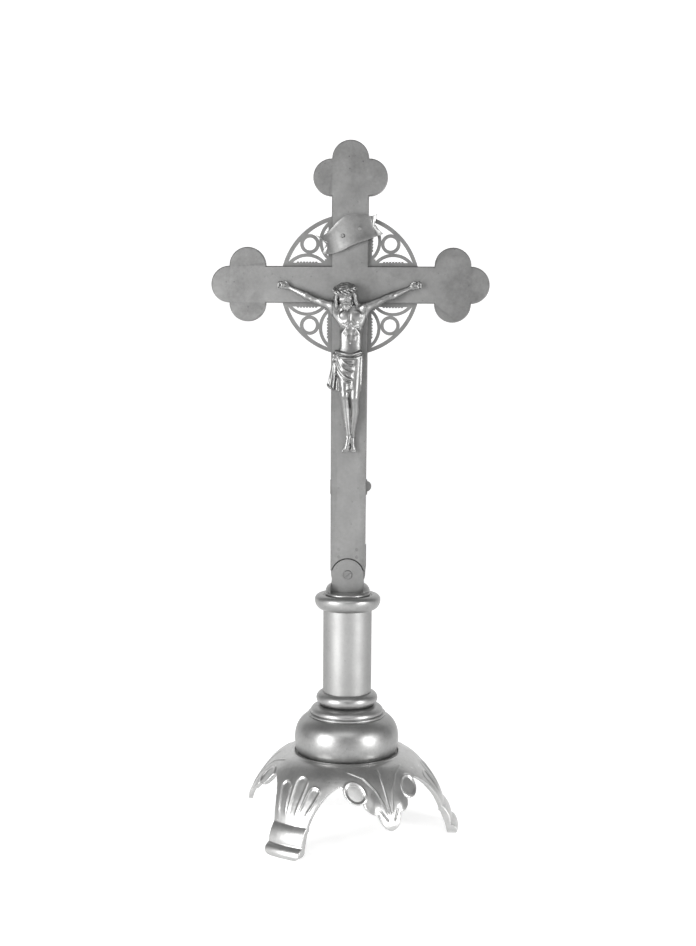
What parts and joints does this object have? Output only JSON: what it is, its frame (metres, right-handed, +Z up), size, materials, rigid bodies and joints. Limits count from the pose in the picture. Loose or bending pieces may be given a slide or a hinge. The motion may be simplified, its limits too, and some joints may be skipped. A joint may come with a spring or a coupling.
{
  "type": "altar crucifix",
  "caption": "Standing altar crucifix: budded Latin cross with openwork ring, scroll and corpus, hinged on a turned column with a domed tripod base of legs and hanging leaves.",
  "frame": {"origin": "on the stand's axis at the floor, the middle of the bottom of the whole object's box", "axes": "+Z up, the cross's front with the figure faces -Y, +X to the viewer's right"},
  "size_m": [0.1976, 0.1548, 0.496],
  "materials": {
    "stand_metal": "satin silver plating over brass, lightly polished",
    "cross_metal": "fine matt silver plating over brass, slightly mottled",
    "figure_metal": "satin cast silver-toned metal",
    "fastener_steel": "plain turned steel"
  },
  "bodies": {
    "stand": {"base_tripod": "stand_metal", "base_washer": "fastener_steel", "base_nut": "fastener_steel", "tie_rod": "fastener_steel", "bulb_shell": "stand_metal", "fillet_ring": "stand_metal", "ogee_ring": "stand_metal", "lower_torus": "stand_metal", "column_tube": "stand_metal", "collar_ring": "stand_metal", "cap": "stand_metal", "knuckle_lug": "stand_metal", "pivot_screw": "stand_metal", "pivot_washer": "fastener_steel", "pivot_nut": "fastener_steel"},
    "cross": {"cross_body": "cross_metal", "ring_lower_left": "cross_metal", "ring_lower_right": "cross_metal", "ring_upper_left": "cross_metal", "ring_upper_right": "cross_metal", "titulus_scroll": "figure_metal", "titulus_pins": "cross_metal", "corpus_body": "figure_metal", "corpus_arm_left": "figure_metal", "corpus_arm_right": "figure_metal", "hand_nails": "cross_metal", "foot_nail": "cross_metal", "back_band": "cross_metal", "band_rivets": "cross_metal", "rear_ear": "cross_metal", "ear_rivets": "cross_metal"}
  },
  "joints": [
    {"name": "knuckle", "type": "hinge", "parent": "stand", "child": "cross", "pos_m": [0, 0, 0.187], "axis": [0, 1, 0], "range_deg": [-20, 20]}
  ]
}
